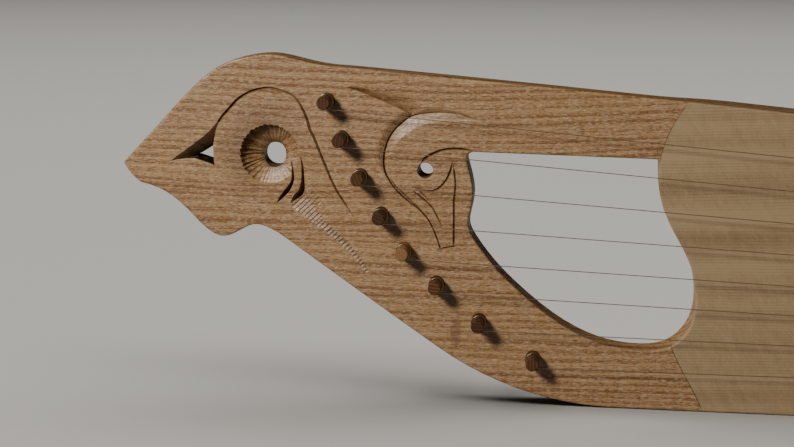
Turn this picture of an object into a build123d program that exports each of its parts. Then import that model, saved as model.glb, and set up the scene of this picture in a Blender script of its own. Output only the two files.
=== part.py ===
"""Lyre-shaped gusli: a board zither carved from one plank, with a playing window and a bird's head.

The instrument stands on its long straight lower edge. X runs from the beak towards the tail, Z is up,
and the carved face looks towards -Y. The origin is the middle of the flat lower edge, at half the depth
of the hollow body. All sizes are in millimetres.
"""

import os
from math import atan2, cos, degrees, hypot, radians, sin

from build123d import *

# ---- driving dimensions ----
body_depth = 34.0  # the hollow body, face to back
head_depth = 20.0  # the carved head and the frame round the window
face_y = -body_depth / 2
body_back_y = body_depth / 2
head_back_y = face_y + head_depth
ramp_start_x = -205.0  # the back swells from head depth to body depth between these two
ramp_end_x = -147.0

board_thickness = 3.0
rim_wall = 9.0
back_wall = 5.0
tail_block_start_x = 175.0
hollow_corner_radius = 6.0
window_left_radius = 4.5
window_right_radius = 1.8

flat_end_x = 226.0
tail_corner_radius = 18.0
beak_tip_radius = 1.5
beak_corner_radius = 3.0
elbow_radius = 203.0  # where the sloping neck turns into the flat lower edge

peg_positions = [
    (-396.0, 188.0),
    (-386.6, 165.0),
    (-374.9, 141.6),
    (-361.6, 118.0),
    (-347.0, 96.2),
    (-326.4, 75.6),
    (-299.6, 52.7),
    (-265.5, 30.2),
]
peg_turns = [82.0, 90.0, 74.0, -22.0, 35.0, 4.0, -3.0, 86.0]  # how each handle stands, degrees
peg_face_radius = 4.4
peg_taper = 0.4 / 18.5  # radius lost per millimetre towards the tip
peg_stand = 18.5  # tip above the face
peg_tip_chamfer = 0.5
peg_clearance = 0.05
shaft_neck = 5.0  # bare shaft behind the head, before the handle
collar_length = 3.0  # the round shaft runs this far into the handle, then comes to a point
collar_point = 6.0
handle_length = 24.0
handle_width = 18.0
handle_neck_width = 10.5
handle_widest = 15.0  # from the handle's start to its widest place
handle_shoulder = 9.0
handle_shoulder_inset = 0.8
handle_thickness = 7.0
handle_edge_radius = 1.6

string_radius = 0.25
string_height = 8.5  # above the face
winding_turns = 6
winding_pitch = 0.46
winding_gap = 0.02
winding_start = 0.1  # the first turn sits this much further back than one pitch behind the string
string_lift = 0.03  # running clearance between a taut string and its peg
tie_hole_radius = 0.5
tie_hole_length = 12.0
tie_hole_stand = 1.6  # behind the last turn

rod_x = 193.0
rod_radius = 3.0
rod_low_z = 10.5
rod_high_z = 150.0
rod_end_chamfer = 0.5
loop_gap = 0.05
twist_radius = 0.45
twist_length = 11.0
loop_bore_length = 4.0
rod_heights = [137.5, 119.5, 103.5, 89.0, 72.0, 56.5, 43.0, 28.0]

post_length = 16.0
post_width = 12.0
post_height = 15.5
post_top_radius = 5.0
post_edge_chamfer = 0.8
tenon_radius = 4.0
tenon_length = 16.0  # depth of the hole for it
tenon_end_gap = 1.0
fit_gap = 0.02
post_heights = {"rod_post_lower": 13.0, "rod_post_upper": 147.5}

eye_centre = (-433.2, 153.9)
eye_dish_radius = 18.0
eye_dish_depth = 8.0
eye_hole_centre = (-430.0, 152.6)
eye_hole_radius = 7.4
small_eye_centre = (-335.1, 146.2)
small_eye_radius = 4.8
mouth_bevel_depth = 9.0
gouge_depth = 5.0

sound_hole_centre = (-40.0, 88.0)
sound_hole_radius = 5.0
petal_hole_radius = 3.4
petal_ring_radius = 15.0
petal_count = 6

brace_stations = {"brace_1": -95.0, "brace_2": 15.0, "brace_3": 115.0}
brace_width = 6.0
brace_depth = 9.0
brace_end_gap = 0.5
brace_top_slack = 1.0
brace_scallop = 22.0
brace_end_depth = 3.0

face_plane = Plane.XZ.offset(-face_y)  # its normal points out of the face, towards -Y
tall = 230.0  # more than the instrument's height
beyond_beak_x = -560.0
beyond_tail_x = 260.0
beyond_edge = 4.0  # cuts run this far past the outline


def rim_top(x):
    """Height of the top edge above the lower edge, along the nearly straight back."""
    near = (-382.0, 208.3)
    bend = -2.885e-5
    run = x - near[0]
    return near[1] - 0.0719 * run + bend * run * run


def depth_profile(head_y, full_y):
    """Seen from above: everything from the face back to head_y at the head and full_y at the body."""
    middle = ((ramp_start_x + ramp_end_x) / 2, (head_y + full_y) / 2)
    with BuildSketch(Plane.XY) as profile:
        with BuildLine():
            TangentArc((ramp_start_x, head_y), middle, tangent=(1, 0))
            TangentArc((ramp_end_x, full_y), middle, tangent=(-1, 0))
            Polyline(
                (ramp_end_x, full_y),
                (beyond_tail_x, full_y),
                (beyond_tail_x, face_y - beyond_edge),
                (beyond_beak_x, face_y - beyond_edge),
                (beyond_beak_x, head_y),
                (ramp_start_x, head_y),
            )
        make_face()
    return profile.sketch


# ---- the outline of the whole instrument ----
beak_tip = (-525.0, 146.0)
beak_corner = (-514.0, 133.4)
neck_start = (-416.6, 97.2)
neck_middle = (-361.9, 59.4)
neck_corner = (-273.8, 0.0)
back_start = (-382.0, 208.3)
tail_top = (223.0, rim_top(223.0))

with BuildSketch(face_plane) as outline:
    with BuildLine():
        Spline(
            beak_tip,
            (-500.0, 173.2),
            (-477.0, 197.5),
            (-461.8, 208.6),
            (-446.7, 213.7),
            (-430.0, 215.4),
            (-413.0, 212.3),
            (-394.4, 209.0),
            back_start,
            tangents=[(1, 1.09), (1, -0.072)],
            tangent_scalars=(1, 1),
        )
        ThreePointArc(back_start, (-114.5, rim_top(-114.5)), tail_top)
        ThreePointArc(tail_top, (230.0, 78.0), (flat_end_x, 0))
        Line((flat_end_x, 0), neck_corner)
        ThreePointArc(neck_corner, neck_middle, neck_start)
        Spline(
            neck_start,
            (-431.8, 106.7),
            (-441.9, 108.9),
            (-452.1, 104.2),
            (-462.4, 100.9),
            (-472.6, 105.8),
            (-482.7, 115.6),
            (-498.0, 127.9),
            beak_corner,
            tangents=[(-1, 0.69), (-1, 0.15)],
            tangent_scalars=(1, 1),
        )
        ThreePointArc(beak_corner, (-519.8, 138.4), beak_tip)
    make_face()
    fillet(outline.vertices().sort_by_distance((*neck_corner, 0))[0], radius=elbow_radius)
    fillet(outline.vertices().sort_by_distance((*tail_top, 0))[0], radius=tail_corner_radius)
    fillet(outline.vertices().sort_by_distance((flat_end_x, 0, 0))[0], radius=tail_corner_radius)
    fillet(outline.vertices().sort_by_distance((*beak_tip, 0))[0], radius=beak_tip_radius)
    fillet(outline.vertices().sort_by_distance((*beak_corner, 0))[0], radius=beak_corner_radius)

# ---- the playing window ----
window_top_left = (-310.9, 158.4)
window_top_right = (-192.6, 156.9)

with BuildSketch(face_plane) as window:
    with BuildLine():
        Line(window_top_left, window_top_right)
        Spline(
            window_top_right,
            (-192.3, 143.2),
            (-189.5, 128.5),
            (-180.7, 110.2),
            (-171.2, 91.9),
            (-166.9, 70.0),
            (-169.8, 53.5),
            (-181.0, 41.2),
            (-199.8, 37.7),
            (-224.5, 41.1),
            (-249.5, 52.5),
            (-272.2, 69.4),
            (-287.9, 84.0),
            (-302.8, 102.4),
            (-307.6, 112.5),
            (-306.2, 122.5),
            (-305.0, 133.0),
            (-307.0, 144.5),
            window_top_left,
            tangents=[(0, -1), (-0.25, 1)],
            tangent_scalars=(1, 1),
        )
    make_face()
    fillet(window.vertices().sort_by_distance((*window_top_left, 0))[0], radius=window_left_radius)
    fillet(window.vertices().sort_by_distance((*window_top_right, 0))[0], radius=window_right_radius)

# ---- where the soundboard lies: from its joint with the head to the tail ----
with BuildSketch(face_plane) as board_area:
    with BuildLine():
        Spline((-174.0, 195.0), (-182.3, 182.5), (-190.0, 164.7), (-192.6, 150.0))
        Line((-192.6, 150.0), (-181.0, 41.2))
        Spline((-181.0, 41.2), (-174.2, 26.9), (-165.6, 11.7), (-158.4, -beyond_edge))
        Polyline(
            (-158.4, -beyond_edge),
            (beyond_tail_x, -beyond_edge),
            (beyond_tail_x, tall),
            (-174.0, tall),
            (-174.0, 195.0),
        )
    make_face()

# ---- the hollow under the soundboard ----
hollow_top_left = (-167.0, rim_top(-167.0) - rim_wall)
hollow_bottom_left = (-160.0, rim_wall)
hollow_top_right = (tail_block_start_x, rim_top(tail_block_start_x) - rim_wall)

with BuildSketch(face_plane) as hollow_area:
    with BuildLine():
        Polyline(hollow_top_left, hollow_top_right, (tail_block_start_x, rim_wall), hollow_bottom_left)
        Spline(
            hollow_bottom_left,
            (-166.0, 36.0),
            (-159.0, 54.0),
            (-156.5, 72.0),
            (-160.0, 92.0),
            (-169.0, 112.0),
            (-178.5, 131.0),
            (-181.0, 150.0),
            hollow_top_left,
        )
    make_face()
    fillet(hollow_area.vertices(), radius=hollow_corner_radius)

with BuildPart() as hollow:
    extrude(hollow_area.sketch, amount=-(body_depth - back_wall))
    extrude(
        depth_profile(head_back_y - back_wall, body_back_y - back_wall),
        amount=tall,
        mode=Mode.INTERSECT,
    )

# ---- carved hollows of the head ----
with BuildPart() as eye_dish:
    with BuildSketch(face_plane):
        with Locations(eye_centre):
            Circle(eye_dish_radius)
    with BuildSketch(face_plane.offset(-eye_dish_depth)):
        with Locations(eye_hole_centre):
            Circle(eye_hole_radius)
    loft()

mouth_front = [(-496.5, 147.5), (-466.4, 171.5), (-467.8, 146.4)]
mouth_back = [(-478.4, 147.0), (-467.6, 155.5), (-468.2, 146.6)]

with BuildPart() as mouth:
    with BuildSketch(face_plane):
        Polygon(*mouth_front, align=None)
    with BuildSketch(face_plane.offset(-mouth_bevel_depth)):
        Polygon(*mouth_back, align=None)
    loft(ruled=True)
    with BuildSketch(face_plane.offset(-mouth_bevel_depth)):
        Polygon(*mouth_back, align=None)
    extrude(amount=-(head_depth - mouth_bevel_depth))

with BuildSketch(face_plane) as gouges:
    with BuildLine():
        ThreePointArc((-427.8, 123.3), (-420.4, 134.0), (-418.8, 149.2))
        ThreePointArc((-418.8, 149.2), (-418.0, 133.6), (-427.8, 123.3))
    make_face()
    with BuildLine():
        ThreePointArc((-419.1, 123.5), (-413.8, 134.5), (-412.3, 150.8))
        Line((-412.3, 150.8), (-410.8, 134.0))
        Line((-410.8, 134.0), (-411.4, 129.0))
        Line((-411.4, 129.0), (-419.1, 123.5))
    make_face()


def along_y(x, z, y):
    """A plane across the depth direction, so that heights above it are measured towards the back."""
    return Plane(origin=(x, y, z), x_dir=(1, 0, 0), z_dir=(0, 1, 0))


def peg_radius(y):
    return peg_face_radius + peg_taper * (y - face_y)


# ---- body: head, frame and hollow box, all one piece of ash ----
with BuildPart() as body:
    extrude(outline.sketch, amount=-body_depth)
    extrude(depth_profile(head_back_y, body_back_y), amount=tall, mode=Mode.INTERSECT)
    extrude(window.sketch, amount=-body_depth, mode=Mode.SUBTRACT)
    extrude(board_area.sketch, amount=-board_thickness, mode=Mode.SUBTRACT)
    add(hollow.part, mode=Mode.SUBTRACT)
    add(eye_dish.part, mode=Mode.SUBTRACT)
    add(mouth.part, mode=Mode.SUBTRACT)
    extrude(gouges.sketch, amount=-gouge_depth, mode=Mode.SUBTRACT)
    with BuildSketch(face_plane):
        with Locations(eye_hole_centre):
            Circle(eye_hole_radius)
        with Locations(small_eye_centre):
            Circle(small_eye_radius)
    extrude(amount=-head_depth, mode=Mode.SUBTRACT)
    for peg_x, peg_z in peg_positions:
        with Locations(along_y(peg_x, peg_z, face_y)):
            Cone(
                peg_radius(face_y) + peg_clearance,
                peg_radius(head_back_y) + peg_clearance,
                head_depth,
                align=(Align.CENTER, Align.CENTER, Align.MIN),
                mode=Mode.SUBTRACT,
            )
    for post_z in post_heights.values():
        with Locations(along_y(rod_x, post_z, face_y)):
            Cylinder(
                tenon_radius + fit_gap,
                tenon_length,
                align=(Align.CENTER, Align.CENTER, Align.MIN),
                mode=Mode.SUBTRACT,
            )
body.part.label = "body"

# ---- soundboard: a thin spruce plate flush with the head ----
with BuildPart() as soundboard:
    extrude(outline.sketch, amount=-board_thickness)
    extrude(window.sketch, amount=-board_thickness, mode=Mode.SUBTRACT)
    extrude(board_area.sketch, amount=-board_thickness, mode=Mode.INTERSECT)
    with BuildSketch(face_plane):
        with Locations(sound_hole_centre):
            Circle(sound_hole_radius)
            with PolarLocations(petal_ring_radius, petal_count):
                Circle(petal_hole_radius)
        with Locations(*[(rod_x, post_z) for post_z in post_heights.values()]):
            Circle(tenon_radius + fit_gap)
    extrude(amount=-board_thickness, mode=Mode.SUBTRACT)
soundboard.part.label = "soundboard"

parts = {"body": body.part, "soundboard": soundboard.part}

# ---- braces glued across the underside of the soundboard ----
for name, station in brace_stations.items():
    low_z = rim_wall + brace_end_gap
    high_z = hollow_top_left[1] + (hollow_top_right[1] - hollow_top_left[1]) * (
        station - hollow_top_left[0]
    ) / (hollow_top_right[0] - hollow_top_left[0])
    high_z -= brace_end_gap + brace_top_slack
    board_back = face_y + board_thickness
    with BuildPart() as brace:
        with BuildSketch(Plane.YZ.offset(station - brace_width / 2)):
            Polygon(
                (board_back, low_z),
                (board_back, high_z),
                (board_back + brace_end_depth, high_z),
                (board_back + brace_depth, high_z - brace_scallop),
                (board_back + brace_depth, low_z + brace_scallop),
                (board_back + brace_end_depth, low_z),
                align=None,
            )
        extrude(amount=brace_width)
    brace.part.label = name
    parts[name] = brace.part

# ---- string rod and the two posts that carry it ----
rod_y = face_y - string_height

with BuildPart() as string_rod:
    with BuildSketch(Plane.XY.offset(rod_low_z)):
        with Locations((rod_x, rod_y)):
            Circle(rod_radius)
    extrude(amount=rod_high_z - rod_low_z)
    chamfer(string_rod.edges().filter_by(GeomType.CIRCLE), rod_end_chamfer)
string_rod.part.label = "string_rod"
parts["string_rod"] = string_rod.part

for name, post_z in post_heights.items():
    with BuildPart() as post:
        with BuildSketch(Plane.XY.offset(post_z - post_width / 2)) as section:
            with Locations((rod_x, face_y - post_height / 2)):
                Rectangle(post_length, post_height)
            fillet(section.vertices().group_by(Axis.Y)[0], radius=post_top_radius)
        extrude(amount=post_width)
        chamfer(post.faces().filter_by(Axis.Z).edges(), post_edge_chamfer)
        with Locations(along_y(rod_x, post_z, face_y)):
            Cylinder(
                tenon_radius,
                tenon_length - tenon_end_gap,
                align=(Align.CENTER, Align.CENTER, Align.MIN),
            )
        with BuildSketch(Plane.XY.offset(rod_low_z)):
            with Locations((rod_x, rod_y)):
                Circle(rod_radius + fit_gap)
        extrude(amount=rod_high_z - rod_low_z, mode=Mode.SUBTRACT)
    post.part.label = name
    parts[name] = post.part

# ---- pegs, the wire wound on them, and the strings ----
tip_y = face_y - peg_stand
handle_start_y = head_back_y + shaft_neck
half_width = handle_width / 2
half_shoulder = half_width - handle_shoulder_inset
half_neck = handle_neck_width / 2
tie_hole_y = rod_y + winding_turns * winding_pitch + tie_hole_stand

for index, (peg_x, peg_z) in enumerate(peg_positions):
    number = index + 1
    turn = radians(peg_turns[index])
    peg_axis = Axis((peg_x, 0, peg_z), (0, 1, 0))
    # In this plane the first coordinate is the distance from the peg's axis, the second is Y.
    paddle_plane = Plane(
        origin=(peg_x, 0, peg_z),
        x_dir=(cos(turn), 0, sin(turn)),
        z_dir=(-sin(turn), 0, cos(turn)),
    )
    with BuildPart() as peg:
        with BuildSketch(paddle_plane):
            with BuildLine():
                Line((-half_neck, handle_start_y), (half_neck, handle_start_y))
                Spline(
                    (half_neck, handle_start_y),
                    (half_shoulder, handle_start_y + handle_shoulder),
                    (half_width, handle_start_y + handle_widest),
                    (0, handle_start_y + handle_length),
                    (-half_width, handle_start_y + handle_widest),
                    (-half_shoulder, handle_start_y + handle_shoulder),
                    (-half_neck, handle_start_y),
                    tangents=[(0.25, 1), (0.25, -1)],
                    tangent_scalars=(1, 1),
                )
            make_face()
        extrude(amount=handle_thickness / 2, both=True)
        fillet(peg.edges().filter_by(GeomType.BSPLINE), radius=handle_edge_radius)
        with BuildSketch(paddle_plane):
            Polygon(
                (0, tip_y),
                (peg_radius(tip_y) - peg_tip_chamfer, tip_y),
                (peg_radius(tip_y), tip_y + peg_tip_chamfer),
                (peg_radius(handle_start_y), handle_start_y),
                (peg_radius(handle_start_y), handle_start_y + collar_length),
                (0, handle_start_y + collar_point),
                align=None,
            )
        revolve(axis=peg_axis)
        with Locations(Plane(origin=(peg_x, tie_hole_y, peg_z), z_dir=paddle_plane.z_dir)):
            Cylinder(tie_hole_radius, tie_hole_length, mode=Mode.SUBTRACT)
    peg.part.label = f"peg_{number}"
    parts[peg.part.label] = peg.part

    with BuildPart() as winding:
        with BuildSketch(paddle_plane):
            for step in range(winding_turns):
                coil_y = rod_y + (step + 1) * winding_pitch + winding_start
                with Locations((peg_radius(coil_y) + string_radius + winding_gap, coil_y)):
                    Circle(string_radius)
        revolve(axis=peg_axis)
    winding.part.label = f"winding_{number}"
    parts[winding.part.label] = winding.part

    # The string leaves the underside of its peg along the tangent and runs to its loop on the rod.
    reach = peg_radius(rod_y) + string_radius + string_lift
    end = (rod_x - rod_radius - loop_gap - string_radius, rod_heights[index])
    slope = atan2(end[1] - (peg_z - reach), end[0] - peg_x)
    start = (peg_x + reach * sin(slope), peg_z - reach * cos(slope))
    string_length = hypot(end[0] - start[0], end[1] - start[1])
    run = Vector(cos(slope), 0, sin(slope))
    twist_start = Vector(end[0], rod_y, end[1]) - run * twist_length

    with BuildPart() as string:
        with BuildSketch(Plane(origin=(start[0], rod_y, start[1]), z_dir=run)):
            Circle(string_radius)
        extrude(amount=string_length)
        with BuildSketch(Plane(origin=twist_start, z_dir=run)):
            Circle(twist_radius)
        extrude(amount=twist_length)
        with Locations((rod_x, rod_y, end[1])):
            Torus(rod_radius + loop_gap + string_radius, string_radius)
        with Locations((rod_x, rod_y, end[1])):
            Cylinder(rod_radius + loop_gap, loop_bore_length, mode=Mode.SUBTRACT)
    string.part.label = f"string_{number}"
    parts[string.part.label] = string.part
    print(string.part.label, "speaking length", round(string_length, 1), "slope", round(degrees(slope), 2))

os.makedirs("parts", exist_ok=True)
for name, piece in parts.items():
    export_step(piece, f"parts/{name}.step")
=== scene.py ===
"""Looks of the lyre-shaped gusli: an ash head and frame with a carved bird's head, a spruce soundboard,
walnut pegs with wire wound on them, eight steel strings, a string rod and its two posts.

Places on the face are (x, z) in millimetres: x from the beak's tip to the tail, z from the lower edge up.
"""

import math
import random

import bmesh
import bpy
import numpy as np
from mathutils import Matrix, Vector
from mathutils.geometry import delaunay_2d_cdt
from mathutils.kdtree import KDTree


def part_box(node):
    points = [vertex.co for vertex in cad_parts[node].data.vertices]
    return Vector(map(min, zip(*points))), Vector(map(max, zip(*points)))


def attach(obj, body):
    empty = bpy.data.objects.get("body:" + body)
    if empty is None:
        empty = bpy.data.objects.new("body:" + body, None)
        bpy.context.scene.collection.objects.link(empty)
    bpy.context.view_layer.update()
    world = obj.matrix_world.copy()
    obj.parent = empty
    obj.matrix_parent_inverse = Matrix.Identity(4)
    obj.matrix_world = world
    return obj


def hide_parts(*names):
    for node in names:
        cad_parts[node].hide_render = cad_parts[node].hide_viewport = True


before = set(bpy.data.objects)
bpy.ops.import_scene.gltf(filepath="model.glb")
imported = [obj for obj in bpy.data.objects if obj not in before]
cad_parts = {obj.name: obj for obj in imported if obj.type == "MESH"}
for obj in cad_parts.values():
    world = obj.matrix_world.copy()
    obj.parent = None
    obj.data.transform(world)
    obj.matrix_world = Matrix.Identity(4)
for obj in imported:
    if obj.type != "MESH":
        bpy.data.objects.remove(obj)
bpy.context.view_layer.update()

MM = 0.001
beak_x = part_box("body")[0].x / MM
face_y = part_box("body")[0].y / MM
body_back_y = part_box("body")[1].y / MM
board_back_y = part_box("soundboard")[1].y / MM
head_depth = 20.0
ramp_start = 320.0  # the back swells from the head's depth to the body's between these two
ramp_end = 378.0
ramp_lines = 15
back_wall = 5.0
tail_start = 600.0  # openings of the soundboard beyond this are mortises, which the posts fill

on_line = 0.02  # a point of the triangulation nearer than this is on the line
touching = 0.05  # a point of another line nearer than this touches it
curved_parts = (0.2, 0.45, 0.7, 1)  # lines along the curved side of a cut, as shares of its width
corner_bend = 0.35  # radians; a line that turns more than this keeps its corner
edge_rings = (0.15, 0.55, 1.1, 2)  # lines beside every outer edge, which carry its rounding
front_rounding = 1.1
back_rounding = 2.0
seam_half_width = 0.25
seam_depth = 0.4
seam_overrun = 2.0
peg_hole_front = 4.5  # radii
peg_hole_back = 4.9
hole_chamfer = 0.4
chamfer_depth = 0.35

eye_dish_centre = np.array((92.8, 153.7))
eye_dish_radius = 18.0
eye_hole_centre = np.array((95, 152.6))
eye_hole_radius = 7.4
flutes = 40
flute_steps = 6
flute_rings = (0, 0.3, 0.5, 0.65, 0.8, 0.9, 0.95, 0.985)  # from the hole's edge to the rim
flute_hollow = 0.46  # depth of a flute, as a share of its width
flute_variety = 0.35
rim_fall = 2.2  # how fast the bowl's surface would rise past its rim, as a share of its depth
small_eye_centre = (189.9, 146.2)
small_eye_radius = 4.8

upper_lip = [(29, 147.1), (43.9, 158.3), (52.8, 165.4), (57.9, 170.9), (62.2, 176.2)]
lower_lip = [(29, 147.1), (33, 148.2), (37.5, 149), (45.1, 149.6), (48.9, 148.5)]
lower_lip += [(55.9, 146.3), (57.9, 145.3)]
mouth_right = [(57.9, 145.3), (57.2, 150.8), (57.1, 158.3), (58.2, 164.6), (59.3, 169.4), (62.2, 176.2)]
mouth_hole = [(40.8, 150), (45.1, 150.2), (48.9, 149.1), (56.9, 146.7), (56.6, 151), (56.5, 158.2)]
mouth_hole += [(53.1, 155.5), (48, 152.3)]
mouth_slope = 1.12
mouth_wall_slope = 25.0
# painted shade on the facet, as a share of that on the mouth's steep walls
mouth_facet_painted_shade = 0.38
lip_steps = (0.17, 0.34, 0.51)  # lines beside the steep sides of the mouth
streak_ends = ((210.6, 31.9), (210.2, 57.6))  # a brown patch in the wood, low on the neck
streak_half_width = 4.2

wire_radius = 0.25
coil_turns = 6
coil_steps = 40  # points to a turn


def add_object(name, data):
    """A new object in the scene."""
    obj = bpy.data.objects.new(name, data)
    bpy.context.scene.collection.objects.link(obj)
    return obj


# ---- lines and distances on the face ----
def curve(points, step=1):
    """A smooth line through the points, with a point about every step."""
    p = np.array(points, float)
    if len(p) == 2:
        count = max(2, int(np.hypot(*(p[1] - p[0])) / step) + 1)
        return p[0] + (p[1] - p[0]) * np.linspace(0, 1, count)[:, None]
    padded = np.vstack([2 * p[0] - p[1], p, 2 * p[-1] - p[-2]])
    line = []
    for a, b, c, d in zip(padded, padded[1:], padded[2:], padded[3:]):
        count = max(1, int(round(np.hypot(*(c - b)) / step)))
        for t in np.arange(count) / count:
            square = (2 * a - 5 * b + 4 * c - d) * t * t
            cube = (3 * b - 3 * c + d - a) * t**3
            line.append(0.5 * (2 * b + (c - a) * t + square + cube))
    return np.array(line + [p[-1]])


def circle(centre, radius, count):
    """A closed line round a circle, anticlockwise."""
    angles = np.arange(count) * 2 * math.pi / count
    return np.array(centre) + radius * np.stack([np.cos(angles), np.sin(angles)], 1)


def area(loop):
    """Positive when the closed line runs anticlockwise."""
    x, z = loop.T
    return 0.5 * np.sum(x * np.roll(z, -1) - np.roll(x, -1) * z)


def normals(line):
    """The direction to the left of an open line, at each of its points."""
    run = np.gradient(line, axis=0)
    run /= np.hypot(*run.T)[:, None]
    return np.stack([-run[:, 1], run[:, 0]], 1)


def nearest(points, line):
    """Each point's distance from the line, the share of its length there, and +1 for its left side."""
    start, run = line[:-1], line[1:] - line[:-1]
    lengths = np.hypot(*run.T)
    along = np.concatenate([[0], np.cumsum(lengths)])
    reach = points[:, None] - start[None]
    t = np.clip((reach * run).sum(2) / lengths**2, 0, 1)
    gap = np.hypot(*np.moveaxis(reach - t[..., None] * run, 2, 0))
    best = gap.argmin(1)
    rows = np.arange(len(points))
    side = run[best, 0] * reach[rows, best, 1] - run[best, 1] * reach[rows, best, 0]
    share = (along[best] + t[rows, best] * lengths[best]) / along[-1]
    return gap[rows, best], share, np.where(side >= 0, 1, -1)


def inside(points, loop):
    """Which points lie inside a closed line."""
    x, z = points.T
    odd = np.zeros(len(points), bool)
    for (x0, z0), (x1, z1) in zip(loop, np.roll(loop, -1, 0)):
        if z0 != z1:
            odd ^= ((z0 > z) != (z1 > z)) & (x < (x1 - x0) * (z - z0) / (z1 - z0) + x0)
    return odd


def even(loop, least, most):
    """The closed line with its points at least and at most so far apart, corners kept."""
    before, after = loop - np.roll(loop, 1, 0), np.roll(loop, -1, 0) - loop
    turn = np.abs(np.arctan2(np.cross(before, after), (before * after).sum(1)))
    kept = [loop[0]]
    for point, bend in zip(loop[1:], turn[1:]):
        if np.hypot(*(point - kept[-1])) >= least or bend > corner_bend:
            kept.append(point)
    line = []
    for a, b in zip(kept, kept[1:] + kept[:1]):
        count = max(1, math.ceil(np.hypot(*(b - a)) / most))
        line += [a + (b - a) * k / count for k in range(count)]
    return np.array(line)


class Rim:
    """Distance from a point to the nearest of several closed lines."""

    def __init__(self, loops):
        self.points = np.vstack(loops)
        self.before = np.vstack([np.roll(loop, 1, 0) for loop in loops])
        self.after = np.vstack([np.roll(loop, -1, 0) for loop in loops])
        self.tree = KDTree(len(self.points))
        for index, (x, z) in enumerate(self.points):
            self.tree.insert((x, z, 0), index)
        self.tree.balance()

    def distance(self, points):
        best = np.array([self.tree.find((x, z, 0))[1] for x, z in points])
        gaps = []
        for other in (self.before, self.after):
            run = other[best] - self.points[best]
            reach = points - self.points[best]
            t = np.clip((reach * run).sum(1) / (run * run).sum(1), 0, 1)
            gaps.append(np.hypot(*(reach - t[:, None] * run).T))
        return np.minimum(*gaps)


class Sheet:
    """Points and lines on the face, triangulated together."""

    def __init__(self):
        self.points, self.lines, self.seen = [], [], {}

    def point(self, p):
        key = (round(float(p[0]), 2), round(float(p[1]), 2))  # points nearer than this are one
        if key not in self.seen:
            self.seen[key] = len(self.points)
            self.points.append(Vector((float(p[0]), float(p[1]))))
        return self.seen[key]

    def line(self, points, closed=False):
        ids = [self.point(p) for p in points]
        ids += ids[:1] if closed else []
        self.lines += [(a, b) for a, b in zip(ids, ids[1:]) if a != b]

    def ring(self, loop, gap, inward, rim):
        """A line beside a closed one, left out where it would come nearer to another edge."""
        ahead = np.roll(loop, -1, 0) - loop
        ahead /= np.hypot(*ahead.T)[:, None]
        mean = ahead + np.roll(ahead, 1, 0)
        mean /= np.hypot(*mean.T)[:, None]
        out = np.stack([-mean[:, 1], mean[:, 0]], 1) * inward
        square = np.stack([-ahead[:, 1], ahead[:, 0]], 1) * inward
        stretch = 1 / np.maximum((out * square).sum(1), 0.5)
        points = loop + out * (gap * stretch)[:, None]
        clear = rim.distance(points) > 0.97 * gap  # just under, so that it clears its own loop
        ids = [self.point(p) if ok else None for p, ok in zip(points, clear)]
        for a, b in zip(ids, ids[1:] + ids[:1]):
            if a is not None and b is not None and a != b:
                self.lines.append((a, b))

    def triangles(self):
        found = delaunay_2d_cdt(self.points, self.lines, [], 0, 1e-4, False)
        return np.array([(p.x, p.y) for p in found[0]]), np.array([f for f in found[2] if len(f) == 3])


# ---- the carving ----
class Cut:
    """A carved line. Each knot is (share of its length, width on its left, width on its right, depth).

    The powers shape its left and right sides: 1 is straight, more is hollow, less is full.
    """

    def __init__(self, points, knots, powers=(1, 1), step=1, stain=0.75):
        self.line = curve(points, step)
        self.share, self.left, self.right, self.deep = np.array(knots, float).T
        self.powers = powers
        self.stain = stain  # painted shade: how much darker the wood is drawn at the bottom of the cut, in place of the shade that falls there

    def draw(self, sheet):
        share = np.linspace(0, 1, len(self.line))
        across = normals(self.line)
        sheet.line(self.line)
        for side, widths, power in ((1, self.left, self.powers[0]), (-1, self.right, self.powers[1])):
            width = np.interp(share, self.share, widths)[:, None]
            for part in (1,) if power == 1 else curved_parts:
                sheet.line(self.line + side * across * width * part)

    def depth(self, points):
        deep = np.zeros(len(points))
        reach = max(self.left.max(), self.right.max())
        near = ((points > self.line.min(0) - reach) & (points < self.line.max(0) + reach)).all(1)
        if near.any():
            gap, share, side = nearest(points[near], self.line)
            width = np.where(side > 0, *[np.interp(share, self.share, w) for w in (self.left, self.right)])
            power = np.where(side > 0, *self.powers)
            fall = np.clip(1 - gap / np.maximum(width, 1e-6), 0, 1) ** power
            deep[near] = np.interp(share, self.share, self.deep) * fall
        return deep


def tapered(width, depth, start=0.12, end=0.2):
    """Knots of an even groove that runs out at both ends."""
    half = width / 2
    late = (1 - end, half * 0.85, half * 0.85, depth * 0.85)
    return [(0, 0.15, 0.15, 0.1), (start, half, half, depth), late, (1, 0.1, 0.1, 0.08)]


def brow():
    """The long line from the mouth's top over the eye and down the neck."""
    points = [(60.6, 173.4), (62.9, 176.6), (67.5, 181.9), (73.5, 188.1), (81.3, 192.6), (88.2, 194.5)]
    points += [(93.3, 194.9), (102.3, 192.8), (108.3, 189.7), (112.4, 184.2), (116, 176.7), (118.3, 169.3)]
    points += [(120.8, 164.4), (127.2, 149), (133.5, 134.8), (139.8, 124.6), (146.2, 115)]
    knots = [(0, 0.8, 1.2, 2), (0.12, 0.9, 1.3, 2.2), (0.28, 0.7, 1.2, 1.8), (0.38, 0.45, 0.8, 1.1)]
    knots += [(0.5, 0.7, 1.2, 1.7), (0.9, 0.6, 1, 1.5), (1, 0.1, 0.1, 0.08)]
    return [Cut(points, knots, stain=0.9)]


def cheek():
    """The shallow arc under the eye, widest near its lowest part."""
    points = [(57.3, 145.4), (60.6, 140.4), (64.7, 135.2), (69.6, 130.3), (74.2, 126.7), (78.7, 124.3)]
    points += [(83.7, 123.5), (88.4, 123.9)]
    knots = [(0, 0.1, 0.1, 0), (0.36, 0.15, 0.15, 0.06), (0.48, 0.3, 1.8, 0.65)]
    knots += [(0.68, 0.3, 2.7, 0.95), (0.86, 0.3, 0.9, 0.35), (1, 0.1, 0.2, 0.1)]
    return [Cut(points, knots, stain=0.35)]


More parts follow.
